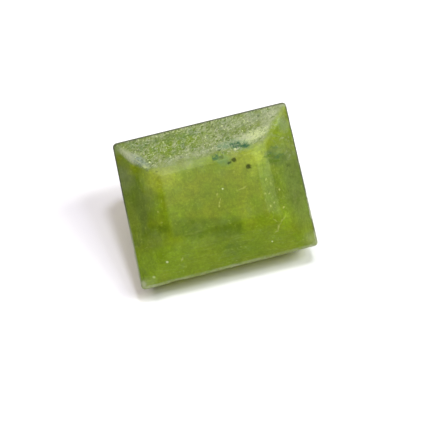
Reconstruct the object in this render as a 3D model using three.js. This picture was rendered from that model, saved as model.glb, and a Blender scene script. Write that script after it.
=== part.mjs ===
// A loose vesuvianite gemstone in a rectangular step cut: one solid stone, in millimetres.
// It is drawn upright, table up, and then laid down on the facet that it rests on.
// Upright, +X runs along the front side, +Y from front to back, and +Z out of the table.
import * as THREE from 'three';

// Girdle outline seen from above: front left, front right, back right, back left.
// The sides are a little out of square, as a hand-cut stone's are.
const OUTLINE = [[-3.85, -3.04], [3.63, -3.04], [3.78, 2.99], [-3.55, 3.09]];

// Crown: how far each ring of edges lies in from the front, right, back and left sides
const STEP_INSETS = [1.28, 1.24, 1.41, 1.27];
const TABLE_INSETS = [1.75, 1.75, 1.78, 1.74];
const STEP_HEIGHT = 0.80;
const TABLE_HEIGHT = 0.97;

// The crown leans on the pavilion, so the girdle is thin on the left and thick on the right
const CROWN_RISE = 0.036;
const GIRDLE_THICKNESS = 0.24;

// Pavilion: two steep tiers below the girdle, then a wide one down to the keel
const UPPER_TIER = { slope: 75, drop: 1.15 };
const MIDDLE_TIER = { slope: 55, drop: 0.75 };
const REST_SLOPE = 36.5;
const KEEL_INSET = 2.98;

// Length of side that the rounding takes at each corner: worn at the girdle, crisp elsewhere
const GIRDLE_CORNER = 0.20;
const FACET_CORNER = 0.04;
const CORNER_STEPS = 4;

const STONE_COLOUR = 0x7f9530;
const STONE_ROUGHNESS = 0.2;

const radians = THREE.MathUtils.degToRad;

// How far a facet of this slope moves in towards the middle over a drop
const run = (slope, drop) => drop / Math.tan(radians(slope));

// Point where two lines cross, each given by a point and a direction
function crossing(pointA, alongA, pointB, alongB) {
  const between = pointB.clone().sub(pointA);
  const share = between.cross(alongB) / alongA.cross(alongB);
  return pointA.clone().addScaledVector(alongA, share);
}

// The outline's corners after each side is moved in by its own inset
function insetCorners(insets) {
  const corners = OUTLINE.map(([x, y]) => new THREE.Vector2(x, y));
  const sides = corners.map((start, i) => {
    const along = corners[(i + 1) % corners.length].clone().sub(start).normalize();
    const inward = new THREE.Vector2(-along.y, along.x);
    return { point: start.clone().addScaledVector(inward, insets[i]), along };
  });
  return sides.map((side, i) => {
    const before = sides.at(i - 1);
    return crossing(before.point, before.along, side.point, side.along);
  });
}

// One ring of facet edges: the inset outline with its corners rounded by short curves
function ring({ insets, height, rise, corner }) {
  const corners = insetCorners(insets);
  const towards = (from, to) => from.clone().add(to.clone().sub(from).setLength(corner));
  return corners.flatMap((point, i) => {
    const start = towards(point, corners.at(i - 1));
    const end = towards(point, corners[(i + 1) % corners.length]);
    return new THREE.QuadraticBezierCurve(start, point, end).getPoints(CORNER_STEPS);
  }).map((point) => new THREE.Vector3(point.x, point.y, height + rise * point.x));
}

// The stone's rings of edges, from the table down to the keel
function stoneRings() {
  const even = (inset) => [inset, inset, inset, inset];
  const crown = { rise: CROWN_RISE, corner: FACET_CORNER };
  const pavilion = { rise: 0, corner: FACET_CORNER };
  const upperInset = run(UPPER_TIER.slope, UPPER_TIER.drop);
  const middleInset = upperInset + run(MIDDLE_TIER.slope, MIDDLE_TIER.drop);
  const upperHeight = -GIRDLE_THICKNESS - UPPER_TIER.drop;
  const middleHeight = upperHeight - MIDDLE_TIER.drop;
  const keelHeight = middleHeight - (KEEL_INSET - middleInset) * Math.tan(radians(REST_SLOPE));
  return [
    { ...crown, insets: TABLE_INSETS, height: TABLE_HEIGHT },
    { ...crown, insets: STEP_INSETS, height: STEP_HEIGHT },
    { ...crown, insets: even(0), height: 0, corner: GIRDLE_CORNER },
    { ...pavilion, insets: even(0), height: -GIRDLE_THICKNESS, corner: GIRDLE_CORNER },
    { ...pavilion, insets: even(upperInset), height: upperHeight },
    { ...pavilion, insets: even(middleInset), height: middleHeight },
    { ...pavilion, insets: even(KEEL_INSET), height: keelHeight },
  ].map(ring);
}

// Joins each ring to the next with a band of facets, and closes the first and the last
function facetedSolid(rings) {
  const count = rings[0].length;
  const faces = [];
  rings.slice(1).forEach((_, band) => {
    for (let i = 0; i < count; i += 1) {
      const next = (i + 1) % count;
      const [upper, upperNext] = [band * count + i, band * count + next];
      const [lower, lowerNext] = [upper + count, upperNext + count];
      faces.push(upper, lower, lowerNext, upper, lowerNext, upperNext);
    }
  });
  const last = (rings.length - 1) * count;
  for (let i = 1; i < count - 1; i += 1) {
    faces.push(0, i, i + 1);
    faces.push(last, last + i + 1, last + i);
  }
  const geometry = new THREE.BufferGeometry().setFromPoints(rings.flat());
  geometry.setIndex(faces);
  geometry.computeVertexNormals();
  return geometry;
}

const stone = new THREE.Mesh(
  facetedSolid(stoneRings()),
  new THREE.MeshStandardMaterial({
    color: STONE_COLOUR,
    roughness: STONE_ROUGHNESS,
    metalness: 0,
    flatShading: true,
  }),
);
stone.name = 'stone';

// Turned by the slope of its widest pavilion tier, the stone lies on that tier's front facet
stone.rotation.x = radians(REST_SLOPE);

// The origin is under the middle of the stone, on the surface that it lies on
const model = new THREE.Group();
model.add(stone);
const extent = new THREE.Box3().setFromObject(model, true);
const middle = extent.getCenter(new THREE.Vector3());
stone.position.set(-middle.x, -middle.y, -extent.min.z);

export default model;
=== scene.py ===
"""A loose vesuvianite gemstone in a rectangular step cut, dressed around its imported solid.

The stone is worked out upright in millimetres, table up, with +X along its front side and +Y
from front to back. It is then turned down on the pavilion facet that it lies on.
"""

import math

import bpy
import numpy as np
from mathutils import Matrix, Vector


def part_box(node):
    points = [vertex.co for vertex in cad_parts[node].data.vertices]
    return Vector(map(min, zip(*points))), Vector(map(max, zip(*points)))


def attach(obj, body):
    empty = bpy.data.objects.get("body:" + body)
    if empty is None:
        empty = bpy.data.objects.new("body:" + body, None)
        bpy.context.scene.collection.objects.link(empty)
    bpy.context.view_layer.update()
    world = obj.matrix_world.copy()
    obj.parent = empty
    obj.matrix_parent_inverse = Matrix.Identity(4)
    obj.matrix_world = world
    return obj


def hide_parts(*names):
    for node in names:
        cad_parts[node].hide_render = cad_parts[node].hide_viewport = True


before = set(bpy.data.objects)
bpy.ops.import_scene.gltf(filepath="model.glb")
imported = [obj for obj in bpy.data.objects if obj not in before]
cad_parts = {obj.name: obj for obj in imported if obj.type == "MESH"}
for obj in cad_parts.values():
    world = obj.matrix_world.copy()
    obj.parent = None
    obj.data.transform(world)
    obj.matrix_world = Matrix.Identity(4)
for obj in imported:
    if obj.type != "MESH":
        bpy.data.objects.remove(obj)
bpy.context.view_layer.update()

bl_info = {
    "name": "Vesuvianite Gemstone",
    "version": (1, 0, 0),
    "blender": (4, 5, 0),
    "location": "3D View > Sidebar > Gemstone",
    "description": "Builds a worn, step-cut vesuvianite and the white table that it lies on",
    "category": "Add Mesh",
}

MM = 0.001
STONE_NODE = "stone"
STONE_NAME = "polished_stone"

# Girdle outline seen from above, in mm: front left, front right, back right, back left
OUTLINE = np.array([[-3.85, -3.04], [3.63, -3.04], [3.78, 2.99], [-3.55, 3.09]])

# How far each ring of crown edges lies in from the front, right, back and left sides, in mm
STEP_INSETS = (1.28, 1.24, 1.41, 1.27)
TABLE_INSETS = (1.75, 1.75, 1.78, 1.74)

# The crown leans on the pavilion: its height grows by this share of x
CROWN_RISE = 0.036

# Pavilion tiers below the girdle, each with its slope in degrees and its drop in mm
UPPER_TIER = (75, 1.15)
MIDDLE_TIER = (55, 0.75)
REST_SLOPE = 36.5
KEEL_INSET = 2.98

# Rounding of the outline's corners in mm: front left, front right, back right, back left
GIRDLE_CORNERS = (0.20, 0.20, 0.20, 0.21)
CRISP_CORNERS = (0.04, 0.04, 0.04, 0.04)
TABLE_CORNERS = (0.14, 0.20, 0.30, 0.08)
STEP_CORNERS = (0.40, 0.40, 0.24, 0.12)
RIDGE_CORNERS = (0.55, 0.50, 0.34, 0.36)

# How soft the table's and the step's edges are worn: front, right, back and left sides
TABLE_SOFTNESS = (0.7, 1.0, 1.0, 0.7)
STEP_SOFTNESS = (1.0, 0.9, 1.0, 0.6)
TABLE_PASSES = 12
STEP_PASSES = 32

# Grid of the surface: columns on each side and corner, rows on each band of facets
SIDE_COLUMNS = (100, 80, 170, 80)
CORNER_COLUMNS = 8
BAND_ROWS = {
    "table": 32, "table rim": 6, "step": 10, "crown top": 20, "crown foot": 20,
    "girdle": 6, "upper tier": 12, "middle tier": 10, "lower tier": 26, "keel": 2,
}
EDGE_ROWS = 5
SEED = 11


def tone(red, green, blue):
    """Scene-linear colour of three display values from 0 to 255."""
    shares = np.array((red, green, blue)) / 255
    linear = np.where(shares <= 0.04045, shares / 12.92, ((shares + 0.055) / 1.055) ** 2.4)
    return tuple(float(share) for share in linear)


def colour_property(name, description, red, green, blue):
    """A colour that a user can change, given as display values from 0 to 255."""
    return bpy.props.FloatVectorProperty(
        name=name, description=description, default=tone(red, green, blue),
        subtype="COLOR", min=0, max=1, size=3,
    )


def length_property(name, description, millimetres):
    """A length that a user can change, given in millimetres and kept in metres."""
    return bpy.props.FloatProperty(
        name=name, description=description, default=millimetres * MM,
        min=0, unit="LENGTH", precision=6,
    )


class StoneSizes(bpy.types.PropertyGroup):
    """Sizes of the cut and of its wear."""

    table_height: length_property("Table height", "Height of the table over the girdle", 0.97)
    step_height: length_property("Step height", "Height of the crown's step over the girdle", 0.80)
    girdle_thickness: length_property("Girdle", "Thickness of the girdle", 0.24)
    edge_wear: length_property("Edge wear", "How far the rounding of an edge reaches", 0.03)
    grain_depth: length_property("Grain depth", "Depth of the frosted facet's grain", 0.010)
    ripple_depth: length_property("Ripple depth", "Depth of the polishing ripples", 0.003)
    chip_depth: length_property("Chip depth", "Depth of the largest edge chips", 0.04)


class StoneColours(bpy.types.PropertyGroup):
    """Colours of the crystal's zones, inclusions and worn places."""

    body: colour_property("Body", "The crystal's main colour", 140, 155, 28)
    yellow: colour_property("Yellow zone", "Growth zones rich in yellow", 184, 198, 56)
    leaf: colour_property("Leaf zone", "Fresh green growth zones", 132, 160, 24)
    lime: colour_property("Lime zone", "The freshest green, at the low corner", 138, 170, 24)
    olive: colour_property("Olive patches", "Brownish patches between the zones", 140, 142, 26)
    moss: colour_property("Moss zone", "Dull green zones at the sides", 112, 130, 66)
    deep: colour_property("Deep zone", "Dark green growth zones", 88, 116, 16)
    teal: colour_property("Inclusion", "Blue-green inclusions", 24, 92, 66)
    cloud: colour_property("Veil", "Grey-green veils round the inclusions", 118, 156, 116)
    speck: colour_property("Speck", "Dark mineral specks", 34, 46, 16)
    frost: colour_property("Frost", "Abraded, unpolished surface", 200, 206, 168)
    slate: colour_property("Bluish frost", "Abraded surface over a grey-blue veil", 160, 178, 162)
    fleck: colour_property("Fleck", "Dull scratches and dust", 186, 196, 96)
    # Painted highlight colour, used for glints and sparkle
    painted_glint: colour_property("Glint", "Tiny broken faces that catch the light", 236, 248, 178)
    # Dark rim: partly the girdle's dull finish, partly painted shade at the stone's edge
    outline: colour_property("Rim", "The girdle's dull, dark edge", 94, 97, 82)
    # Painted light: a pale line along the front edge, where its rounding mirrors the bright floor
    sill: colour_property("Front edge", "The worn front edge", 172, 182, 128)
    glow: colour_property("Clear colour", "Colour of light after its way through", 216, 220, 44)
    clarity: bpy.props.FloatProperty(
        name="Clarity", description="Share of the light that passes into the stone",
        default=0.45, min=0, max=1, subtype="FACTOR",
    )


class StageLook(bpy.types.PropertyGroup):
    """The white table, the lights and the surroundings."""

    floor_width: length_property("Floor width", "Width of the white table", 1200)
    floor_colour: colour_property("Floor", "Colour of the white table", 243, 242, 240)
    key_power: bpy.props.FloatProperty(
        name="Key light", description="Power of the key lamp", default=0.325, unit="POWER",
    )
    surround: bpy.props.FloatProperty(
        name="Surroundings", description="Brightness of the room's soft light", default=0.09,
    )


# Camera: where it looks from and what it looks at, in the stone's frame at rest
CAMERA_AZIMUTH = 1.132
CAMERA_ELEVATION = 52.693
CAMERA_ROLL = -15.305
CAMERA_TARGET = (-0.129, -1.095, 2.795)
CAMERA_DISTANCE = 60.0
SENSOR_WIDTH = 36.0
PHOTO_WIDTH = 430
PIXELS_PER_MM = 24.508

# Lamps: direction from the stone, width in mm, share of the key light's power, and colour
LAMPS = {
    "key": ((0.26, -0.115, 1), 42, 1.0, (0.93, 0.95, 1.13)),
    "side": ((0.487, -0.333, 1), 41, 0.50, (0.92, 0.95, 1.14)),
    "low": ((0.89, -0.41, 1), 115, 1.68, (0.99, 1.05, 0.97)),
    "top": ((-0.08, 0.10, 1), 215, 1.38, (1.04, 0.965, 0.97)),
}
LAMP_DISTANCE = 300.0
ROOM_COLOUR = (1.0, 0.86, 0.76)


def camera_axes():
    """Right, up and back axes of the camera, from its azimuth, elevation and roll."""
    azimuth = math.radians(CAMERA_AZIMUTH)
    elevation = math.radians(CAMERA_ELEVATION)
    roll = math.radians(CAMERA_ROLL)
    look = Vector((
        -math.sin(azimuth) * math.cos(elevation),
        math.cos(azimuth) * math.cos(elevation),
        -math.sin(elevation),
    ))
    level = Vector((math.cos(azimuth), math.sin(azimuth), 0))
    upright = level.cross(look)
    right = level * math.cos(roll) + upright * math.sin(roll)
    up = upright * math.cos(roll) - level * math.sin(roll)
    return right, up, -look


def add_camera(scene):
    """Camera at the photograph's viewing angle, with a lens that gives its scale."""
    data = bpy.data.cameras.new("camera")
    camera = bpy.data.objects.new("camera", data)
    scene.collection.objects.link(camera)
    right, up, back = camera_axes()
    place = (Vector(CAMERA_TARGET) + back * CAMERA_DISTANCE) * MM
    turn = Matrix((right, up, back)).transposed().to_4x4()
    camera.matrix_world = Matrix.Translation(place) @ turn
    data.sensor_width = SENSOR_WIDTH
    data.lens = SENSOR_WIDTH * CAMERA_DISTANCE / (PHOTO_WIDTH / PIXELS_PER_MM)
    data.clip_start = 1 * MM
    data.clip_end = 10
    scene.camera = camera


def add_lamps(scene, key_power):
    """Round lamps above and on the right, each turned to the stone."""
    for name, (direction, width, share, colour) in LAMPS.items():
        data = bpy.data.lights.new(f"{name}_lamp", "AREA")
        data.shape = "DISK"
        data.size = width * MM
        data.energy = key_power * share
        data.color = colour
        lamp = bpy.data.objects.new(f"{name}_lamp", data)
        towards = Vector(direction).normalized()
        lamp.location = towards * LAMP_DISTANCE * MM
        lamp.rotation_euler = towards.to_track_quat("Z", "Y").to_euler()
        scene.collection.objects.link(lamp)


def add_floor(scene, width, colour):
    """White table, a hair below the facet that the stone lies on."""
    half = width / 2
    gap = -0.004 * MM
    mesh = bpy.data.meshes.new("white_table")
    corners = [(-half, -half, gap), (half, -half, gap), (half, half, gap), (-half, half, gap)]
    mesh.from_pydata(corners, [], [(0, 1, 2, 3)])
    material = bpy.data.materials.new("white_table")
    material.use_nodes = True
    shader = material.node_tree.nodes["Principled BSDF"]
    shader.inputs["Base Color"].default_value = (*colour, 1)
    shader.inputs["Roughness"].default_value = 0.9
    shader.inputs["Specular IOR Level"].default_value = 0
    mesh.materials.append(material)
    floor = bpy.data.objects.new("white_table", mesh)
    scene.collection.objects.link(floor)


def add_room(scene, strength):
    """Soft light from the room, the same from all sides."""
    world = bpy.data.worlds.new("room")
    world.use_nodes = True
    background = world.node_tree.nodes["Background"]
    background.inputs["Color"].default_value = (*ROOM_COLOUR, 1)
    background.inputs["Strength"].default_value = strength
    scene.world = world
    scene.view_settings.view_transform = "Standard"


def smooth(value, low, high):
    """0 below low, 1 above high, and 3f^2 - 2f^3 in between, where f is the share of the way."""
    share = np.clip((value - low) / (high - low), 0, 1)
    return share * share * (3 - 2 * share)


def crown_knots(sizes):
    """Rings of facet edges from the table's middle out to the girdle.

    Each ring is ten numbers: four insets, height, rise and four corner roundings, in mm.
    """
    def knot(insets, height, corners):
        return [*insets, height, CROWN_RISE, *corners]

    table_height = sizes.table_height / MM
    step_height = sizes.step_height / MM
    middle_insets = [inset / 2 for inset in STEP_INSETS]
    inner_insets = [inset + 0.45 for inset in TABLE_INSETS]
    return [
        knot(inner_insets, table_height, TABLE_CORNERS),
        knot(TABLE_INSETS, table_height, TABLE_CORNERS),
        knot(STEP_INSETS, step_height, STEP_CORNERS),
        knot(middle_insets, step_height / 2, RIDGE_CORNERS),
        knot((0, 0, 0, 0), 0, GIRDLE_CORNERS),
    ]


def pavilion_knots(sizes):
    """Rings of facet edges from the girdle's lower edge to the keel, as for the crown."""
    def knot(inset, height, corners):
        return [inset, inset, inset, inset, height, 0, *corners]

    def tier(slope, drop, inset, height):
        return inset + drop / math.tan(math.radians(slope)), height - drop

    girdle_foot = -sizes.girdle_thickness / MM
    upper = tier(*UPPER_TIER, 0, girdle_foot)
    middle = tier(*MIDDLE_TIER, *upper)
    keel_drop = (KEEL_INSET - middle[0]) * math.tan(math.radians(REST_SLOPE))
    keel = (KEEL_INSET, middle[1] - keel_drop)
    return [
        knot(0, girdle_foot, GIRDLE_CORNERS),
        knot(*upper, CRISP_CORNERS),
        knot(*middle, CRISP_CORNERS),
        knot(*keel, (0.03,) * 4),
        knot(KEEL_INSET + 0.02, keel[1], (0.01,) * 4),
    ]


def profile_rows(knots, reaches, row_counts):
    """Rows of the surface from ring to ring, with each ring's edge worn round.

    Rows run straight from knot to knot. At a knot they follow (1-u)^2 A + 2u(1-u) K + u^2 B,
    where A and B lie the edge's reach before and after the knot K.
    Returns the rows and, for each, how many knots it is past the first.
    """
    knots = np.array(knots, float)
    steps = np.diff(knots, axis=0)
    lengths = np.hypot(steps[:, :4].mean(1), steps[:, 4])
    u = np.linspace(0, 1, EDGE_ROWS + 1)[:, None]
    rows, bands = [], []
    last, last_band = knots[0], 0.0
    for k in range(1, len(knots)):
        is_end = k == len(knots) - 1
        reach = 0 if is_end else reaches[k - 1]
        share = reach / lengths[k - 1]
        before = knots[k] - steps[k - 1] * share
        straight = np.linspace(0, 1, row_counts[k - 1], endpoint=False)[:, None]
        rows.append(last + (before - last) * straight)
        bands.append(last_band + (k - share - last_band) * straight[:, 0])
        if is_end:
            rows.append(knots[k][None])
            bands.append(np.array([float(k)]))
            continue
        share_after = reach / lengths[k]
        after = knots[k] + steps[k] * share_after
        curve = (1 - u) ** 2 * before + 2 * u * (1 - u) * knots[k] + u ** 2 * after
        rows.append(curve[:-1])
        bands.append(k - share + (share + share_after) * u[:-1, 0])
        last, last_band = after, k + share_after
    return np.concatenate(rows), np.concatenate(bands)


def ring_corners(insets):
    """Corners of the outline after each side is moved in by its inset.

    Two neighbouring sides P + s a and Q + t b cross at P + a (Q - P) x b / (a x b).
    """
    along = np.roll(OUTLINE, -1, 0) - OUTLINE
    along /= np.linalg.norm(along, axis=1, keepdims=True)
    inward = np.stack([-along[:, 1], along[:, 0]], 1)
    points = OUTLINE + insets[:, :, None] * inward
    before_points = np.roll(points, 1, 1)
    before_along = np.roll(along, 1, 0)
    between = points - before_points
    share = between[..., 0] * along[:, 1] - between[..., 1] * along[:, 0]
    share /= before_along[:, 0] * along[:, 1] - before_along[:, 1] * along[:, 0]
    return before_points + before_along * share[..., None]


def column_layout():
    """Which corner each column starts from, its share of a corner's curve or of a side, and
    its place round the stone, where corner i is at i and side i reaches to i + 1."""
    corner, arc, side, around = [], [], [], []
    spread = 0.03
    for i, count in enumerate(SIDE_COLUMNS):
        u = np.linspace(0, 1, CORNER_COLUMNS, endpoint=False)
        v = np.linspace(0, 1, count, endpoint=False)
        corner.append(np.full(CORNER_COLUMNS + count, i))
        arc.append(np.concatenate([u, np.ones(count)]))
        side.append(np.concatenate([np.zeros(CORNER_COLUMNS), v]))
        around.append(np.concatenate([i - spread + 2 * spread * u, i + spread + (1 - 2 * spread) * v]))
    return tuple(np.concatenate(part) for part in (corner, arc, side, around))


def ring_grid(rows, columns):
    """Points of every row and column, upright and in mm.

    A corner's columns follow (1-u)^2 S + 2u(1-u) P + u^2 E between points S and E on its two
    sides, and a side's columns run straight from E to the next corner's S. Height is the row's
    own plus its rise times x.
    """
    corner, arc, side, _ = columns
    P = ring_corners(rows[:, :4])
    legs = rows[:, 6:10, None]

    def towards(other):
        way = other - P
        return P + way / np.linalg.norm(way, axis=2, keepdims=True) * legs

    S = towards(np.roll(P, 1, 1))
    E = towards(np.roll(P, -1, 1))
    u, v = arc[:, None], side[:, None]
    curve = (1 - u) ** 2 * S[:, corner] + 2 * u * (1 - u) * P[:, corner] + u ** 2 * E[:, corner]
    flat = curve + v * (np.roll(S, -1, 1)[:, corner] - E[:, corner])
    height = rows[:, 4, None] + rows[:, 5, None] * flat[..., 0]
    return np.concatenate([flat, height[..., None]], 2)


def grain(points, size, seed):
    """Smooth random relief from -1 to 1.

    Seeded values stand on a cubic lattice of cells of the given size, and a point takes its
    eight neighbours' values, weighted by 3f^2 - 2f^3 along each axis.
    """
    period = 64
    values = np.random.default_rng(seed).uniform(-1, 1, (period, period, period))
    cells = points / size
    base = np.floor(cells).astype(int)
    f = cells - base
    f = f * f * (3 - 2 * f)
    total = np.zeros(points.shape[:-1])
    for offset in np.ndindex(2, 2, 2):
        x, y, z = np.moveaxis((base + offset) % period, -1, 0)
        weight = np.prod(np.where(offset, f, 1 - f), axis=-1)
        total += values[x, y, z] * weight
    return total


def grid_normals(grid):
    """Outward normals: the cross product of the differences along a row and down a column."""
    round_way = np.roll(grid, -1, 1) - np.roll(grid, 1, 1)
    down_way = np.gradient(grid, axis=0)
    normals = np.cross(down_way, round_way)
    return normals / np.maximum(np.linalg.norm(normals, axis=2, keepdims=True), 1e-9)


def side_share(around, start, blur):
    """1 on the side that starts from this corner, and 0 past a blur beyond its ends."""
    turn = (around - start + 2) % 4 - 2
    return smooth(turn, -blur, 0.0) * (1 - smooth(turn, 1.0, 1.0 + blur))


def soften_edges(grid, bands, around):
    """Wears the table's and the step's edges round by taking means down each column.

    Each pass sets a row to a quarter of the row before, a half of itself and a quarter of the
    row after. The result is blended in by each edge's softness, which fades with distance.
    Returns the worn grid and how much each of its points is worn.
    """
    worn = np.zeros(grid.shape[:2])
    edges = ((1, TABLE_SOFTNESS, TABLE_PASSES), (2, STEP_SOFTNESS, STEP_PASSES))
    for edge, softness, passes in edges:
        means = grid.copy()
        for _ in range(passes):
            means[1:-1] = (means[:-2] + 2 * means[1:-1] + means[2:]) / 4
        near_edge = 1 - smooth(np.abs(bands - edge), 0.45, 0.85)
        round_way = sum(amount * side_share(around, side, 0.05) for side, amount in enumerate(softness))
        weight = np.clip(np.outer(near_edge, round_way), 0, 1)
        grid = grid + (means - grid) * weight[..., None]
        worn = np.maximum(worn, weight)
    return grid, worn


def stone_masks(bands, around):
    """Share of each crown facet, of the girdle and of the pavilion's edges at each point of the
    grid, with soft limits. The ridge is where the crown's foot and the girdle may chip."""
    band, place = np.meshgrid(bands, around, indexing="ij")

    def on_side(start):
        return side_share(place, start, 0.03)

    along_back = (place - 2) % 4
    soft_foot = smooth(along_back, 0.08, 0.25) * (1 - smooth(along_back, 0.86, 0.94))
    crisp, soft = smooth(band, 1.96, 2.04), smooth(band, 1.7, 2.3)
    slope = (crisp + (soft - crisp) * soft_foot) * (1 - smooth(band, 4.0, 4.05))
    table = 1 - smooth(band, 0.85, 1.15)
    past_corner = smooth(place % 4 - 2, -0.01, 0.03)
    back = on_side(2) * past_corner * slope
    right = on_side(1) * slope
    left = on_side(3) * slope
    rim = smooth(band, 3.87, 3.95) * (1 - smooth(band, 5.0, 5.1))
    # Foot of the front crown facet, which carries the painted light line
    sill = smooth(band, 3.79, 3.89) * (1 - smooth(band, 5.0, 5.1))
    front = on_side(0)
    ridge = smooth(band, 3.7, 3.95) * (1 - smooth(band, 5.05, 5.3))
    past_girdle = smooth(band, 5.1, 5.2)
    tier_edges = sum(1 - smooth(np.abs(band - edge), 0.005, 0.05) for edge in (6, 7, 8))
    mitres = 1 - smooth(np.abs(place - np.round(place)), 0.030, 0.042)
    arris = np.maximum(tier_edges, mitres) * past_girdle
    return {
        "table": table, "front": front * slope, "right": right, "back": back, "left": left,
        "rim": rim * (1 - front), "sill": sill * front, "ridge": ridge, "arris": arris,
    }


def stone_surface(sizes):
    """Upright surface of the worn stone in mm, with its facet masks.

    Rings of facet edges give a grid, which closes in one point on the table and one at the keel.
    Ripples, grain and chips only take material off.
    """
    wear = sizes.edge_wear / MM
    knots = crown_knots(sizes) + pavilion_knots(sizes)
    reaches = [wear * share for share in (0.7, 0.6, 2.5, 1.3, 1.5, 1.0, 1.0, 0.5)]
    counts = [BAND_ROWS[name] for name in BAND_ROWS if name != "table"]
    rows, bands = profile_rows(knots, reaches, counts)
    columns = column_layout()
    grid = ring_grid(rows, columns)
    table_middle = grid[0].mean(0)
    keel_middle = grid[-1].mean(0)
    inward = np.linspace(0, 1, BAND_ROWS["table"] + 1)[1:-1, None, None]
    table = table_middle + (grid[0] - table_middle) * inward
    grid = np.concatenate([table, grid])
    bands = np.concatenate([np.zeros(len(table)), bands])
    masks = stone_masks(bands, columns[3])
    grid, masks["worn"] = soften_edges(grid, bands, columns[3])
    normals = grid_normals(grid)
    chipped = masks.pop("ridge") * (1 - side_share(columns[3], 2, 0.2))
    chipped = np.maximum(chipped, masks["arris"] * 0.6)
    depth = relief_depth(grid, masks["back"], chipped, sizes)
    grid = grid - normals * depth[..., None]
    return grid, table_middle, keel_middle, masks


def relief_depth(grid, frosted, chipped, sizes):
    """Depth in mm that ripples, the frosted facet's grain and edge chips take off each point."""
    ripple = sizes.ripple_depth / MM
    rough = sizes.grain_depth / MM
    ripples = 0.5 + 0.5 * grain(grid, 0.55, SEED)
    coarse = 0.5 + 0.5 * grain(grid, 0.13, SEED + 1)
    fine = 0.5 + 0.5 * grain(grid, 0.07, SEED + 2)
    depth = ripple * ripples + rough * frosted * (0.55 * coarse + 0.45 * fine)
    chips = smooth(grain(grid, 0.24, SEED + 3), 0.25, 0.8)
    depth = depth + chips * chipped * sizes.chip_depth / MM
    pole = smooth(np.abs(np.arange(len(grid)) - (len(grid) - 1) / 2), len(grid) / 2 - 3, len(grid) / 2)
    return depth * (1 - pole[:, None])


def lay_down(points):
    """Turns upright points by the rest facet's slope and sets them where the solid stands.

    The move brings the unworn rings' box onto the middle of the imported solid's box, and down
    to its lowest height. Points are in mm and the result is in metres.
    """
    sizes = bpy.context.scene.gemstone.sizes
    turn = np.array(Matrix.Rotation(math.radians(REST_SLOPE), 3, "X"))
    sharp = np.array(crown_knots(sizes)[1:] + pavilion_knots(sizes)[:-1], float)
    rings = ring_grid(sharp, column_layout()).reshape(-1, 3) @ turn.T * MM
    low, high = (np.array(corner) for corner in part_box(STONE_NODE))
    move = (low + high - rings.min(0) - rings.max(0)) / 2
    move[2] = low[2] - rings[:, 2].min()
    return points @ turn.T * MM + move, move


def grid_mesh(name, grid, top, bottom):
    """Closed mesh of a grid that runs round in columns, with one point at each end."""
    row_count, column_count = grid.shape[:2]
    index = np.arange(row_count * column_count).reshape(row_count, column_count)
    following = np.roll(index, -1, 1)
    quads = np.stack([index[:-1], index[1:], following[1:], following[:-1]], -1).reshape(-1, 4)
    top_index = row_count * column_count
    first = np.stack([np.full(column_count, top_index), index[0], following[0]], -1)
    last = np.stack([np.full(column_count, top_index + 1), following[-1], index[-1]], -1)
    points = np.concatenate([grid.reshape(-1, 3), [top], [bottom]])
    mesh = bpy.data.meshes.new(name)
    mesh.from_pydata(points, [], [*quads.tolist(), *first.tolist(), *last.tolist()])
    mesh.shade_smooth()
    return mesh


def store_share(mesh, name, grid_values):
    """Keeps one number for each point of the grid on the mesh, the first row's mean for the table's middle
    point and 0 for the keel's.
    """
    attribute = mesh.attributes.new(name, "FLOAT", "POINT")
    values = np.concatenate([grid_values.ravel(), [grid_values[0].mean(), 0]])
    attribute.data.foreach_set("value", values.astype(np.float32))


class Wiring:
    """Adds shader nodes to one material and joins them."""

    def __init__(self, tree):
        self.tree = tree

    def put(self, socket, value):
        """Joins a socket to another, or sets it to a plain value."""
        if isinstance(value, bpy.types.NodeSocket):
            self.tree.links.new(value, socket)
        else:
            socket.default_value = value

    def add(self, kind, inputs=None, **settings):
        """A node of this kind with its settings and its inputs."""
        node = self.tree.nodes.new(kind)
        for name, value in settings.items():
            setattr(node, name, value)
        for name, value in (inputs or {}).items():
            self.put(node.inputs[name], value)
        return node

    def math(self, operation, *values, clamp=False):
        """Result of a Math node."""
        node = self.add("ShaderNodeMath", operation=operation, use_clamp=clamp)
        for socket, value in zip(node.inputs, values):
            self.put(socket, value)
        return node.outputs[0]

    def blend(self, share, below, above, mode="MIX"):
        """Colour above laid on colour below by a share."""
        node = self.add("ShaderNodeMix", data_type="RGBA", blend_type=mode, clamp_factor=True)
        self.put(node.inputs[0], share)
        self.put(node.inputs[6], (*below, 1) if isinstance(below, tuple) else below)
        self.put(node.inputs[7], (*above, 1) if isinstance(above, tuple) else above)
        return node.outputs[2]

    def ramp(self, value, low, high, start=0.0, end=1.0):
        """Value from start to end, with smooth ends, while the input goes from low to high."""
        node = self.add(
            "ShaderNodeMapRange",
            {"Value": value, "From Min": low, "From Max": high, "To Min": start, "To Max": end},
            interpolation_type="SMOOTHSTEP", clamp=False,
        )
        return node.outputs["Result"]

    def noise(self, place, size, detail=2.0, roughness=0.5, distortion=0.0):
        """Noise of a given grain size, in the unit of place."""
        node = self.add(
            "ShaderNodeTexNoise",
            {"Vector": place, "Scale": 1 / size, "Detail": detail, "Roughness": roughness,
             "Distortion": distortion},
        )
        return node.outputs["Fac"]

    def share(self, name):
        """A number that is kept on the mesh."""
        return self.add("ShaderNodeAttribute", attribute_name=name).outputs["Fac"]

    def spot(self, place, centre, radii, turn=0.0, core=0.0):
        """1 inside a soft ellipsoid and 0 outside: 1 less the length of the turned place over
        the radii is its nearness, and core is the share of the radius that is full."""
        node = self.add(
            "ShaderNodeMapping",
            {"Vector": place, "Location": centre, "Rotation": (0, 0, math.radians(turn)),
             "Scale": radii},
            vector_type="TEXTURE",
        )
        near = self.add(
            "ShaderNodeTexGradient", {"Vector": node.outputs[0]}, gradient_type="SPHERICAL",
        )
        return self.ramp(near.outputs[1], 0.0, 1.0 - core)


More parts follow.
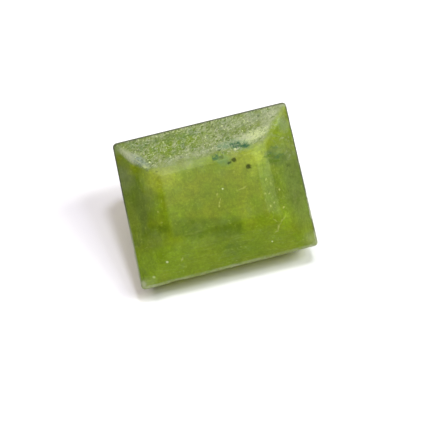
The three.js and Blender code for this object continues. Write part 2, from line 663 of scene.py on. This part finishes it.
# Growth zones seen from above, in upright mm: middle, half width and half depth, turn in
# degrees, colour, strength, and the share of the zone that is full
ZONES = {
    "left side": ((-4.10, 0.45), (1.50, 2.0), 0, "moss", 0.70, 0.85),
    "left edge": ((-3.75, 0.3), (0.45, 2.2), 0, "leaf", 0.30, 0.3),
    "left green": ((-3.15, 0.3), (0.75, 2.1), 0, "deep", 0.20, 0.5),
    "left olive": ((-3.45, 2.0), (0.6, 0.8), 0, "moss", 0.5, 0.1),
    "left leaf": ((-3.25, 0.85), (0.28, 0.7), 0, "leaf", 0.3, 0.1),
    "left lower leaf": ((-3.35, -0.75), (0.5, 0.7), 0, "leaf", 0.5, 0.1),
    "left foot": ((-2.5, -0.85), (0.75, 0.45), 0, "deep", 0.6, 0.2),
    "upper left window": ((-2.2, 1.15), (0.5, 0.68), 5, "yellow", 0.6, 0.2),
    "upper left haze": ((-1.65, 1.05), (0.85, 0.70), -15, "yellow", 0.65, 0.1),
    "upper right window": ((1.7, 1.10), (0.85, 0.5), 12, "yellow", 0.45, 0.2),
    "right window": ((2.3, 0.5), (0.6, 0.6), 0, "yellow", 0.15, 0.2),
    "right rim": ((2.28, -0.3), (0.5, 1.6), 0, "deep", 0.50, 0.4),
    "heart shade": ((-0.45, -1.50), (1.60, 0.70), -14, "deep", 0.24, 0.5),
    "heart foot": ((0.0, -1.98), (1.0, 0.6), -8, "deep", 0.45, 0.2),
    "bright arc": ((1.15, -1.05), (0.6, 0.85), 20, "yellow", 0.2, 0.1),
    "low bright arc": ((1.15, -1.50), (0.45, 0.30), 20, "yellow", 0.12, 0.1),
    "lower left leaf": ((-2.3, -1.95), (1.45, 0.75), 0, "lime", 0.85, 0.3),
    "corner leaf": ((-3.4, -2.2), (0.8, 1.2), 0, "lime", 0.85, 0.3),
    "left bright leaf": ((-2.75, -1.75), (0.75, 0.50), 0, "lime", 0.8, 0.2),
    "left low leaf": ((-2.65, -1.15), (0.8, 0.6), 0, "leaf", 0.55, 0.3),
    "front leaf": ((-0.2, -2.2), (3.9, 0.95), 0, "leaf", 0.50, 0.5),
    "right side": ((3.5, -0.4), (1.0, 2.9), 0, "moss", 0.55, 0.4),
    "teal patch": ((2.90, 0.95), (0.75, 0.62), 10, "moss", 0.9, 0.3),
    "teal patch heart": ((2.85, 0.85), (0.60, 0.42), 10, "deep", 0.45, 0.2),
    "lower middle": ((0.6, -2.5), (1.4, 0.5), 0, "deep", 0.35, 0.2),
    "front foot": ((-0.3, -3.0), (3.6, 0.36), 0, "deep", 0.22, 0.3),
    "right foot": ((3.55, -0.15), (0.55, 1.3), 0, "deep", 0.35, 0.3),
    "right hand yellow": ((1.8, 0.45), (0.4, 0.35), 0, "yellow", 0.40, 0.1),
    "window's end": ((2.15, 1.02), (0.42, 0.36), 10, "yellow", 0.60, 0.2),
    "right shade": ((2.95, -0.45), (0.95, 1.25), 0, "speck", 0.18, 0.4),
    "table shade": ((-0.1, -0.15), (1.5, 0.95), 0, "speck", 0.10, 0.3),
    "low right shade": ((3.0, -1.95), (0.45, 0.45), 0, "speck", 0.14, 0.1),
    "left edge light": ((-3.5, -0.3), (0.45, 1.3), 0, "yellow", 0.17, 0.3),
    "left window shade": ((-2.4, 0.45), (0.42, 0.42), 0, "speck", 0.15, 0.2),
    "left foot shade": ((-2.4, -1.0), (0.38, 0.30), 0, "speck", 0.11, 0.2),
    "green patch light": ((3.05, 1.05), (0.32, 0.24), 0, "yellow", 0.24, 0.2),
    "far right shade": ((3.45, 0.45), (0.32, 0.55), 0, "speck", 0.12, 0.3),
    "rim shade": ((1.8, -1.0), (0.42, 0.42), 0, "speck", 0.14, 0.2),
    "front foot shade": ((1.5, -2.85), (0.75, 0.22), 0, "speck", 0.14, 0.3),
    "heart foot shade": ((0.4, -2.0), (0.38, 0.26), 0, "speck", 0.12, 0.2),
    "right middle shade": ((3.0, -1.45), (0.38, 0.36), 0, "speck", 0.13, 0.2),
}

# Small inclusions near the surface: middle, half width and half depth, turn, colour, strength
INCLUSIONS = {
    "grey veil": ((0.72, 1.25), (0.46, 0.30), -30, "cloud", 0.45),
    "teal cloud": ((0.92, 1.82), (0.46, 0.20), -6, "cloud", 0.7),
    "bar veil": ((1.50, 1.72), (0.68, 0.34), -20, "cloud", 0.6),
    "pale shore": ((1.80, 1.93), (0.50, 0.12), -8, "frost", 0.6),
    "teal bar": ((1.40, 1.72), (0.36, 0.19), -20, "teal", 0.9),
    "teal bar end": ((1.70, 1.62), (0.28, 0.14), -14, "teal", 0.9),
    "bar gap": ((1.33, 1.56), (0.12, 0.08), 20, "frost", 0.8),
    "teal bead": ((0.43, 1.45), (0.20, 0.15), 0, "teal", 0.85),
    "grey bead": ((0.67, 1.40), (0.14, 0.12), 0, "speck", 0.5),
    "teal dot": ((0.66, 1.73), (0.08, 0.10), 0, "teal", 0.4),
    "foot bead": ((0.85, 1.52), (0.10, 0.05), 0, "teal", 0.4),
    "large speck": ((1.65, 0.76), (0.16, 0.15), 0, "speck", 0.9),
    "round speck": ((1.14, 1.18), (0.13, 0.12), 0, "speck", 0.8),
    "small speck": ((0.93, 1.08), (0.13, 0.07), 15, "speck", 0.75),
    "right speck": ((3.26, 0.43), (0.16, 0.13), 0, "speck", 0.45),
    "upper speck": ((2.54, 2.67), (0.11, 0.09), 0, "speck", 0.6),
    "far speck": ((2.30, 1.17), (0.08, 0.06), 0, "speck", 0.4),
    "left speck": ((-2.03, 1.50), (0.07, 0.06), 0, "speck", 0.5),
    "upper green streak": ((2.66, 1.12), (0.42, 0.10), 8, "moss", 0.7),
    "left green streak": ((2.52, 0.98), (0.30, 0.08), 5, "deep", 0.9),
    "lower green streak": ((2.72, 0.72), (0.40, 0.08), -8, "deep", 0.8),
    "teal streak": ((3.00, 0.90), (0.32, 0.10), 12, "teal", 0.45),
    "upper teal streak": ((2.86, 1.26), (0.26, 0.07), -12, "teal", 0.40),
    "left teal streak": ((2.60, 1.07), (0.15, 0.06), 10, "teal", 0.40),
    "pale streak": ((2.90, 1.02), (0.30, 0.07), 6, "cloud", 0.25),
    "right edge speck": ((3.30, -1.05), (0.14, 0.18), 0, "deep", 0.5),
    "deep fleck": ((0.05, -2.17), (0.30, 0.12), 6, "deep", 0.6),
    "band fleck": ((-1.10, -0.85), (0.14, 0.12), 0, "deep", 0.5),
    "left band fleck": ((-0.92, -1.50), (0.14, 0.10), 0, "deep", 0.5),
}

# Scratches and streaks: middle, half length, half width, turn, bend per mm, and strength
SCRATCHES = {
    "long arm": ((2.47, -1.66), 0.27, 0.046, 40, 0.5, 0.55),
    "short arm": ((2.16, -1.63), 0.20, 0.038, -52, 0.6, 0.70),
    "stem": ((2.22, -1.92), 0.24, 0.052, 62, -0.6, 0.90),
    "foot": ((2.10, -2.07), 0.10, 0.052, 10, 0.0, 0.95),
    "bowed line": ((1.13, -0.07), 0.30, 0.034, 6, 0.9, 0.85),
    "bowed line above": ((1.28, -0.01), 0.14, 0.030, 20, 0.6, 0.70),
    "table's front line": ((-1.15, -1.29), 0.95, 0.070, 0, 0.0, 0.16),
    "left tick": ((-3.22, -1.40), 0.14, 0.024, 8, 0.0, 0.50),
    "left dash": ((-3.02, -1.41), 0.06, 0.026, -40, 0.0, 0.55),
    "edge line": ((-3.50, -2.72), 0.26, 0.024, -6, 0.0, 0.55),
    "corner line": ((-3.55, -2.92), 0.20, 0.030, -20, 0.0, 0.60),
    "upright dash": ((-2.68, 0.12), 0.10, 0.035, 80, 0.0, 0.40),
    "upright tick": ((-2.12, 0.26), 0.10, 0.030, 70, 0.0, 0.45),
}

# Painted highlights: bright glints of tiny broken faces, drawn as pale spots: middle and radius
PAINTED_GLINTS = {
    "table glint": ((0.41, 0.14), 0.050),
    "foot glint": ((-2.52, -2.17), 0.065),
    "corner glint": ((-3.22, -2.64), 0.100),
    "right glint": ((1.83, -2.42), 0.045),
    "back glint": ((1.02, 2.66), 0.065),
    "rear glint": ((-0.87, 2.86), 0.060),
    "ridge glint": ((-2.20, 1.94), 0.050),
    "bar glint": ((1.30, 1.58), 0.045),
}

# Soft pale flecks on the polish: middle and radius
FLECKS = {
    "first dot": ((0.14, -0.03), 0.062),
    "second dot": ((0.21, -0.25), 0.056),
    "third dot": ((0.15, -0.36), 0.052),
    "fourth dot": ((0.10, -0.48), 0.066),
    "upper right dot": ((1.02, 0.68), 0.045),
    "table left dot": ((-2.38, -0.12), 0.035),
    "back foot dot": ((-0.62, 1.40), 0.055),
    "front left dot": ((-1.90, -2.22), 0.080),
    "far left dot": ((-3.05, 1.78), 0.055),
    "rim dot": ((2.02, -0.48), 0.046),
    "low rim dot": ((2.18, -0.53), 0.042),
    "outer rim dot": ((2.62, -0.45), 0.042),
    "wide rim dot": ((2.28, -0.92), 0.046),
    "narrow rim dot": ((2.10, -1.02), 0.045),
    "right dot": ((2.62, -1.20), 0.050),
    "upper rim dot": ((2.20, 0.07), 0.046),
}


def wavy_place(wire, place, size, amount):
    """Place moved to and fro by up to half an amount, so that what is drawn there has an
    uneven edge."""
    noise = wire.add("ShaderNodeTexNoise", {"Vector": place, "Scale": 1 / size, "Detail": 2.0})
    parts = wire.add("ShaderNodeSeparateColor", {0: noise.outputs["Color"]}).outputs
    shifts = [wire.math("MULTIPLY_ADD", part, amount, -amount / 2) for part in parts]
    shift = wire.add("ShaderNodeCombineXYZ", dict(enumerate(shifts)))
    moved = wire.add("ShaderNodeVectorMath", {0: place, 1: shift.outputs[0]}, operation="ADD")
    return moved.outputs[0]


def stretched(wire, place, turn, lengthen):
    """Place turned and squeezed, so that what is drawn there lies along the turn."""
    node = wire.add(
        "ShaderNodeMapping",
        {"Vector": place, "Rotation": (0, 0, math.radians(turn)), "Scale": (lengthen, 1, 1)},
        vector_type="TEXTURE",
    )
    return node.outputs[0]


def stroke(wire, place, centre, half_length, half_width, turn, bend):
    """1 along a thin bowed line: across it, y has bend times x squared taken off."""
    node = wire.add(
        "ShaderNodeMapping",
        {"Vector": place, "Location": (*centre, 0), "Rotation": (0, 0, math.radians(turn))},
        vector_type="TEXTURE",
    )
    split = wire.add("ShaderNodeSeparateXYZ", {0: node.outputs[0]}).outputs
    bow = wire.math("MULTIPLY", wire.math("MULTIPLY", split[0], split[0]), bend)
    across = wire.math("DIVIDE", wire.math("SUBTRACT", split[1], bow), half_width)
    along = wire.math("DIVIDE", split[0], half_length)
    squares = [wire.math("POWER", part, 2) for part in (across, along)]
    distance = wire.math("SQRT", wire.math("ADD", *squares))
    return wire.ramp(distance, 1.0, 0.1)


def slab(wire, place, centre, half_length, half_width, turn, blur):
    """1 inside a turned rectangle and 0 outside, with a soft limit as wide as the blur."""
    node = wire.add(
        "ShaderNodeMapping",
        {"Vector": place, "Location": (*centre, 0), "Rotation": (0, 0, math.radians(turn))},
        vector_type="TEXTURE",
    )
    split = wire.add("ShaderNodeSeparateXYZ", {0: node.outputs[0]}).outputs
    along = wire.ramp(wire.math("ABSOLUTE", split[0]), half_length, half_length - blur)
    across = wire.ramp(wire.math("ABSOLUTE", split[1]), half_width, half_width - blur)
    return wire.math("MULTIPLY", along, across)


class Paint:
    """Lays colours of the palette over one another."""

    def __init__(self, wire, colours, start):
        self.wire = wire
        self.colours = colours
        self.colour = tuple(getattr(colours, start))

    def lay(self, name, *shares):
        """Lays a colour on, by the product of its shares."""
        share = shares[0]
        for other in shares[1:]:
            share = self.wire.math("MULTIPLY", share, other)
        self.colour = self.wire.blend(share, self.colour, tuple(getattr(self.colours, name)))

    def light(self, value, low, high, darkest, brightest):
        """Makes the colour darker or brighter as the value goes from low to high."""
        amount = self.wire.ramp(value, low, high, darkest, brightest)
        node = self.wire.add("ShaderNodeHueSaturation", {"Value": amount, "Color": self.colour})
        self.colour = node.outputs[0]


def growth_zones(wire, place, paint):
    """Zones of the crystal and the patchy colour inside them."""
    wide = wavy_place(wire, wavy_place(wire, place, 0.8, 0.35), 0.22, 0.12)
    paint.lay("leaf", wire.ramp(wire.noise(place, 0.9, 3), 0.3, 0.7))
    for (x, y), (width, depth), turn, name, strength, core in ZONES.values():
        paint.lay(name, wire.spot(wide, (x, y, 0), (width, depth, 6), turn, core), strength)
    heart = slab(wire, wavy_place(wire, place, 0.5, 0.22), (-0.58, -1.20), 1.50, 0.48, -13, 0.22)
    paint.lay("deep", heart, 0.52)
    paint.lay("olive", wire.ramp(wire.noise(wide, 0.55, 3, 0.6), 0.5, 0.75), 0.07)
    drifts = wire.noise(wavy_place(wire, place, 0.5, 0.4), 0.7, 3, 0.6)
    paint.lay("moss", wire.ramp(drifts, 0.5, 0.75), 0.35)
    paint.light(wire.noise(place, 0.34, 4, 0.65), 0.3, 0.7, 0.86, 1.14)
    paint.light(wire.noise(place, 0.10, 3, 0.6), 0.3, 0.7, 0.86, 1.14)
    paint.light(wire.noise(place, 0.045, 2, 0.6), 0.3, 0.7, 0.91, 1.09)


def frosted_facet(wire, place, near, paint):
    """The back facet: never polished well, it is pale and gritty, and clearer in clumps. Its paleness is
    partly painted sheen, and its bright grains are painted sparkle.
    """
    back = wire.share("back")
    aslant = stretched(wire, near, 35, 1.7)
    clumps = wire.noise(place, 0.55, 4, 0.65)
    grains = wire.noise(aslant, 0.085, 3, 0.75)
    green = wire.spot(near, (-0.9, 2.4, 0.3), (2.2, 0.60, 1.5), 3, 0.4)
    paint.lay("moss", back, 0.55)
    paint.lay("frost", back, wire.ramp(clumps, 0.35, 0.65, 0.05, 0.48))
    paint.lay("leaf", back, green, wire.ramp(wire.noise(near, 0.3, 3), 0.32, 0.58), 0.80)
    paint.lay("cloud", back, wire.ramp(wire.noise(near, 0.42, 3, 0.6), 0.48, 0.66), 0.32)
    # Frost spots on the facet; the two at its ends are partly painted reflection of bright surroundings
    for centre, radii, turn, strength in (
        ((-3.05, 2.48, 0.4), (0.80, 0.28, 1.0), -50, 0.72),
        ((2.95, 2.40, 0.4), (1.10, 0.42, 1.0), 50, 0.6),
        ((-0.3, 1.78, 0.7), (1.9, 0.20, 0.6), -2, 0.35),
        ((1.95, 1.90, 0.4), (1.15, 0.34, 1.0), 6, 0.60),
        ((-2.90, 2.25, 0.4), (0.55, 0.40, 1.0), 0, 0.75),
        ((0.9, 2.60, 0.2), (1.6, 0.45, 1.0), 0, 0.20),
        ((0.85, 1.80, 0.6), (0.80, 0.24, 1.0), 0, 0.38),
        ((0.30, 2.20, 0.4), (0.65, 0.28, 1.0), 0, 0.24),
    ):
        paint.lay("frost", wire.spot(near, centre, radii, turn, 0.3), back, strength)
    right_foot = wire.spot(near, (2.10, 1.90, 0.5), (1.0, 0.30, 1.0), 10, 0.3)
    smooth_ends = wire.spot(place, (-3.00, 2.48, 0.4), (0.9, 0.20, 1.0), -50, 0.4)
    rough = wire.math("MULTIPLY", back, wire.ramp(smooth_ends, 0.0, 1.0, 1.0, 0.35))
    uneven = wire.ramp(wire.noise(place, 0.55, 3), 0.38, 0.62, 0.45, 1.0)
    paint.lay("speck", rough, wire.ramp(wire.noise(place, 0.40, 3, 0.6), 0.5, 0.7), 0.22)
    paint.lay("deep", rough, uneven, wire.ramp(grains, 0.49, 0.37), 0.95)
    paint.lay("frost", rough, uneven, wire.ramp(grains, 0.51, 0.63), 0.85)
    paint.lay("speck", rough, wire.ramp(wire.noise(near, 0.14, 2), 0.60, 0.70), 0.45)
    # Painted sparkle: bright grains at the facet's right foot
    paint.lay("painted_glint", right_foot, back, wire.ramp(grains, 0.38, 0.60, 0.45, 1.0), 0.76)
    paint.lay("frost", wire.spot(near, (-2.95, 2.22, 0.4), (0.50, 0.34, 1.0), 0, 0.2), back, 0.74)
    paint.lay("moss", wire.spot(near, (-1.35, 2.72, 0.2), (1.0, 0.26, 1.0), 0, 0.3), back, 0.35)
    paint.lay("frost", wire.spot(near, (2.4, 2.66, 0.2), (1.2, 0.34, 1.0), 0, 0.2), back, 0.3)
    bluish = wire.spot(near, (-2.62, 2.12, 0.5), (0.62, 0.26, 1.0), -42, 0.2)
    paint.lay("slate", bluish, back, 0.75)
    paint.lay("speck", bluish, back, wire.ramp(wire.noise(near, 0.10, 2), 0.50, 0.60), 0.45)
    mitre = stroke(wire, place, (-2.86, 2.32), 1.00, 0.055, -49, 0.10)
    paint.lay("frost", mitre, 0.75)
    # Painted highlight at the lower tip of the left mitre
    paint.lay("painted_glint", wire.spot(near, (-2.42, 1.78, 0.7), (0.26, 0.07, 0.6), -35, 0.2), back, 0.6)
    # Painted sparkle: scattered glints over the facet
    sparks = wire.ramp(wire.noise(near, 0.075, 1), 0.655, 0.73)
    paint.lay("painted_glint", sparks, back, 0.9)
    # Painted sparkle: a band of glints along the back rim
    crest = wire.spot(near, (0.1, 2.95, 0.05), (3.9, 0.12, 0.5), -0.8, 0.3)
    paint.lay("painted_glint", crest, back, wire.ramp(wire.noise(near, 0.06, 2), 0.52, 0.62), 0.6)


def haze(wire, place, near, paint):
    """Haze of the table, of the places round it and of the corners."""
    clouds = wire.ramp(wire.noise(place, 0.35, 4, 0.7), 0.25, 0.75, 0.4, 1.0)
    for centre, radii, turn, strength in (
        ((-1.0, 1.62, 0.9), (1.9, 0.55, 1.4), -4, 0.50),
        ((-1.8, 1.35, 0.9), (0.6, 0.40, 1.4), 0, 0.16),
        ((2.2, 1.62, 0.9), (0.9, 0.26, 1.4), 15, 0.28),
        ((1.1, 1.42, 0.9), (0.45, 0.28, 1.4), 0, 0.22),
        ((3.4, 0.0, 0.4), (0.7, 3.2, 1.4), 0, 0.06),
        ((-3.4, 1.6, 0.2), (0.55, 0.9, 1.4), 0, 0.24),
        ((-2.5, 0.8, 0.5), (0.5, 1.7, 1.4), 0, 0.14),
        ((-0.9, -1.65, 0.8), (2.3, 0.45, 1.4), 0, 0.08),
        ((-2.7, -1.2, 0.5), (0.7, 0.6, 1.4), 0, 0.11),
        ((-3.3, -1.9, 0.2), (0.7, 1.4, 1.4), 0, 0.08),
        ((3.5, -2.75, 0.3), (0.6, 0.5, 1.4), 0, 0.34),
        ((3.45, 2.75, 0.2), (0.45, 0.35, 1.4), 0, 0.30),
        ((-3.6, -2.8, 0.1), (0.6, 0.35, 0.6), 0, 0.35),
    ):
        paint.lay("frost", wire.spot(near, centre, radii, turn, 0.1), clouds, strength)
    for centre, radii, strength in (
        ((3.45, 2.15, 0.2), (0.40, 0.50, 1.4), 0.45),
        ((-3.55, 2.75, 0.1), (0.40, 0.35, 1.4), 0.40),
    ):
        paint.lay("slate", wire.spot(near, centre, radii, 0, 0.1), clouds, strength)
    height = wire.add("ShaderNodeSeparateXYZ", {0: place}).outputs[1]
    veil = wire.ramp(height, -1.4, 0.8, 0.035, 0.09)
    paint.lay("frost", wire.share("table"), veil)


def pavilion(wire, place, near, below, paint):
    """Below the girdle: clear colour with drifts of moss, veils, blue-green wisps, specks and
    worn edges."""
    # Partly painted light: the clear colour is laid on brightly, so that the underside throws green light
    # onto the floor in place of light that passes through
    paint.lay("glow", below, 0.66)
    drifts = wire.noise(stretched(wire, near, 24, 2.2), 0.75, 4, 0.6)
    paint.lay("moss", below, wire.ramp(drifts, 0.46, 0.68), 0.55)
    paint.lay("leaf", below, wire.ramp(wire.noise(near, 0.5, 3, 0.6), 0.45, 0.65), 0.40)
    paint.lay("yellow", below, wire.ramp(wire.noise(place, 1.2, 3), 0.50, 0.66), 0.35)
    clusters = wire.ramp(wire.noise(place, 1.3, 2), 0.42, 0.60)
    wisps = wire.ramp(wire.noise(stretched(wire, near, -30, 2.0), 0.34, 4, 0.65), 0.58, 0.70)
    paint.lay("teal", below, clusters, wisps, 0.45)
    fold = wire.math("ABSOLUTE", wire.math("SUBTRACT", wire.noise(near, 0.62, 3, 0.55), 0.5))
    paint.lay("frost", below, clusters, wire.ramp(fold, 0.022, 0.0), 0.40)
    lines = wire.noise(stretched(wire, place, -3, 9), 0.06, 2, 0.6)
    paint.lay("deep", below, wire.ramp(lines, 0.50, 0.72), 0.22)
    paint.lay("speck", below, wire.ramp(wire.noise(near, 0.14, 1), 0.70, 0.76), 0.65)
    paint.lay("fleck", below, wire.ramp(wire.noise(near, 0.10, 2, 0.6), 0.60, 0.74), 0.5)
    worn = wire.ramp(wire.noise(near, 0.20, 3, 0.6), 0.35, 0.60, 0.25, 1.0)
    paint.lay("frost", wire.share("arris"), worn, 0.50)


def wear_marks(wire, place, near, crown, paint):
    """Dust and scratches in the polish, and glints drawn as painted highlights."""
    clusters = wire.ramp(wire.noise(place, 0.8, 2), 0.35, 0.7)
    fine_dust = wire.ramp(wire.noise(near, 0.10, 1, 0.5), 0.63, 0.78)
    paint.lay("fleck", fine_dust, clusters, 0.5)
    right = wire.spot(place, (2.35, -0.5, 0.8), (0.8, 1.7, 2), 0, 0.4)
    upright = stretched(wire, near, 84, 2.2)
    paint.lay("fleck", wire.ramp(wire.noise(upright, 0.08, 2, 0.6), 0.52, 0.72), right, 0.33)
    sides = wire.math("MAXIMUM", wire.share("left"), wire.share("right"))
    lines = stretched(wire, place, 86, 9)
    paint.lay("deep", wire.ramp(wire.noise(lines, 0.06, 2, 0.6), 0.5, 0.72), sides, 0.35)
    level = stretched(wire, place, -3, 9)
    paint.lay("fleck", wire.ramp(wire.noise(level, 0.055, 2, 0.6), 0.52, 0.74), wire.share("front"), 0.22)
    frosty = wire.spot(place, (3.35, 1.7, 0.3), (0.7, 1.5, 1.5), 0, 0.4)
    paint.lay("frost", wire.ramp(wire.noise(near, 0.15, 4, 0.7), 0.50, 0.68), frosty, 0.35)
    for centre, half_length, half_width, turn, bend, strength in SCRATCHES.values():
        line = stroke(wire, near, centre, half_length, half_width, turn, bend)
        paint.lay("fleck", line, crown, strength)
    for (x, y), radius in FLECKS.values():
        radii = (radius * 0.8, radius * 1.6, 0.9)
        paint.lay("fleck", wire.spot(near, (x, y, 0.7), radii, -25, 0.3), 0.95)
    # Painted highlights: a pale spot at each glint
    for (x, y), radius in PAINTED_GLINTS.values():
        paint.lay("painted_glint", wire.spot(place, (x, y, 0.7), (radius * 1.2, radius, 0.9), -20, 0.4))


def stone_colour(wire, place, colours):
    """Body colour with its growth zones, haze, inclusions, frosted facet and wear."""
    near = wavy_place(wire, place, 0.16, 0.14)
    rugged = wavy_place(wire, near, 0.07, 0.09)
    crown = wire.ramp(wire.add("ShaderNodeSeparateXYZ", {0: place}).outputs[2], -0.4, -0.2)
    paint = Paint(wire, colours, "body")
    growth_zones(wire, place, paint)
    pavilion(wire, place, near, wire.math("SUBTRACT", 1.0, crown), paint)
    haze(wire, place, near, paint)
    frosted_facet(wire, place, near, paint)
    broken = wire.ramp(wire.noise(near, 0.13, 3, 0.7), 0.38, 0.52, 0.45, 1.0)
    for (x, y), (width, depth), turn, name, strength in INCLUSIONS.values():
        spot = wire.spot(rugged, (x, y, 0.8), (width, depth, 0.9), turn, 0.45)
        paint.lay(name, spot, broken if name in ("cloud", "teal") else 1.0, strength)
    shore = wire.spot(near, (1.05, 1.66, 0.8), (0.85, 0.42, 0.9), -12, 0.4)
    paint.lay("frost", shore, wire.ramp(wire.noise(rugged, 0.075, 2), 0.54, 0.64), 0.7)
    paint.lay("speck", shore, wire.ramp(wire.noise(rugged, 0.11, 2), 0.58, 0.68), 0.5)
    wear_marks(wire, place, near, crown, paint)
    # The rim is laid dark: partly the girdle's dull finish, partly painted shade at the stone's edge
    paint.lay("outline", wire.share("rim"), 0.85)
    patchy = wire.ramp(wire.noise(near, 0.22, 3, 0.6), 0.35, 0.6, 0.35, 1.0)
    # Painted reflection: the rim's lower left half is laid pale, as its rounded edge mirrors the white
    # surroundings
    rim_reflection_place = wire.spot(place, (-3.9, -1.6, 0.0), (0.9, 2.4, 2.0), 0, 0.25)
    paint.lay("frost", wire.share("rim"), rim_reflection_place, 0.85)
    # Painted light: a pale line along the front edge, where its rounding mirrors the bright floor
    paint.lay("sill", wire.share("sill"), patchy, 0.9)
    for centre, radii, turn in (
        ((-3.72, -2.82, 0.0), (0.16, 0.22, 0.4), 0),
        ((-3.45, -2.98, 0.0), (0.42, 0.07, 0.4), -2),
        ((3.60, -2.75, 0.1), (0.09, 0.42, 0.4), 0),
        ((3.42, -3.00, 0.1), (0.30, 0.06, 0.4), 0),
        ((3.66, -1.5, 0.1), (0.07, 0.9, 0.4), -1),
        ((3.62, 2.86, 0.0), (0.22, 0.12, 0.4), 0),
    ):
        paint.lay("frost", wire.spot(near, centre, radii, turn, 0.3), patchy, 0.85)
    return paint.colour


def stone_material(colours, move):
    """Cloudy crystal: part see-through, with absorption inside and a worn polish outside."""
    material = bpy.data.materials.new("cloudy_vesuvianite")
    material.use_nodes = True
    wire = Wiring(material.node_tree)
    shader = material.node_tree.nodes["Principled BSDF"]
    output = material.node_tree.nodes["Material Output"]
    coordinates = wire.add("ShaderNodeTexCoord")
    upright = wire.add(
        "ShaderNodeMapping",
        {"Vector": coordinates.outputs["Object"], "Location": tuple(move),
         "Rotation": (math.radians(REST_SLOPE), 0, 0), "Scale": (MM, MM, MM)},
        vector_type="TEXTURE",
    )
    place = upright.outputs[0]
    wire.put(shader.inputs["Base Color"], stone_colour(wire, place, colours))
    dull = wire.math("MULTIPLY_ADD", wire.share("back"), 0.20, 0.34)
    roughness = wire.math("MULTIPLY_ADD", wire.share("worn"), 0.05, dull)
    wire.put(shader.inputs["Roughness"], roughness)
    shader.inputs["IOR"].default_value = 1.71
    shader.inputs["Specular IOR Level"].default_value = 0.1
    shader.inputs["Specular Tint"].default_value = (*tone(190, 205, 150), 1)
    shader.inputs["Transmission Weight"].default_value = colours.clarity
    fine = wire.noise(place, 0.05, 2, 0.6)
    bump = wire.add(
        "ShaderNodeBump",
        {"Height": wire.math("MULTIPLY", fine, back_share(wire)), "Strength": 1.0, "Distance": 0.012 * MM},
    )
    wire.put(shader.inputs["Normal"], bump.outputs[0])
    absorption = wire.add("ShaderNodeVolumeAbsorption", {"Color": (*colours.glow, 1), "Density": 250.0})
    wire.put(output.inputs["Volume"], absorption.outputs[0])
    return material


def back_share(wire):
    """Share of the frosted facet, with a little of its grain on the rest."""
    return wire.math("MULTIPLY_ADD", wire.share("back"), 0.85, 0.15)


class GEMSTONE_OT_make_stage(bpy.types.Operator):
    """Make the camera, the white table, the lamps and the room's soft light"""

    bl_idname = "gemstone.make_stage"
    bl_label = "Make Stage"

    def execute(self, context):
        """Adds the camera first, then everything that lights the stone."""
        look = context.scene.gemstone.stage
        add_camera(context.scene)
        add_floor(context.scene, look.floor_width, look.floor_colour)
        add_lamps(context.scene, look.key_power)
        add_room(context.scene, look.surround)
        return {"FINISHED"}


class GEMSTONE_OT_make_stone(bpy.types.Operator):
    """Make the worn, cloudy stone in place of its plain solid"""

    bl_idname = "gemstone.make_stone"
    bl_label = "Make Stone"

    def execute(self, context):
        """Works out the surface, lays it down and gives it its finish."""
        if STONE_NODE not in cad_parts:
            raise RuntimeError(f"the frame has no solid named {STONE_NODE}")
        settings = context.scene.gemstone
        grid, table_middle, keel_middle, masks = stone_surface(settings.sizes)
        laid, move = lay_down(grid)
        ends, _ = lay_down(np.array([table_middle, keel_middle]))
        mesh = grid_mesh(STONE_NAME, laid, *ends)
        for name, values in masks.items():
            store_share(mesh, name, values)
        mesh.materials.append(stone_material(settings.colours, move))
        stone = bpy.data.objects.new(STONE_NAME, mesh)
        context.scene.collection.objects.link(stone)
        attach(stone, "root")
        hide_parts(STONE_NODE)
        return {"FINISHED"}


class GemstoneSettings(bpy.types.PropertyGroup):
    """All that a user can change."""

    sizes: bpy.props.PointerProperty(type=StoneSizes)
    colours: bpy.props.PointerProperty(type=StoneColours)
    stage: bpy.props.PointerProperty(type=StageLook)


class GEMSTONE_PT_panel(bpy.types.Panel):
    """Sizes, colours and the two steps of making the stone."""

    bl_idname = "GEMSTONE_PT_panel"
    bl_label = "Vesuvianite Gemstone"
    bl_space_type = "VIEW_3D"
    bl_region_type = "UI"
    bl_category = "Gemstone"

    def draw(self, context):
        """Lists each group's properties, then the operators."""
        settings = context.scene.gemstone
        for group in (settings.sizes, settings.colours, settings.stage):
            box = self.layout.box()
            for name in group.__annotations__:
                box.prop(group, name)
        self.layout.operator(GEMSTONE_OT_make_stage.bl_idname)
        self.layout.operator(GEMSTONE_OT_make_stone.bl_idname)


CLASSES = (
    StoneSizes, StoneColours, StageLook, GemstoneSettings,
    GEMSTONE_OT_make_stage, GEMSTONE_OT_make_stone, GEMSTONE_PT_panel,
)


def register():
    """Registers the classes and the settings on the scene."""
    for item in CLASSES:
        bpy.utils.register_class(item)
    bpy.types.Scene.gemstone = bpy.props.PointerProperty(type=GemstoneSettings)


def unregister():
    """Takes the settings and the classes away again."""
    del bpy.types.Scene.gemstone
    for item in reversed(CLASSES):
        bpy.utils.unregister_class(item)


def main():
    """Makes the stage and the stone."""
    register()
    bpy.ops.gemstone.make_stage()
    bpy.ops.gemstone.make_stone()


if __name__ == "__main__":
    main()
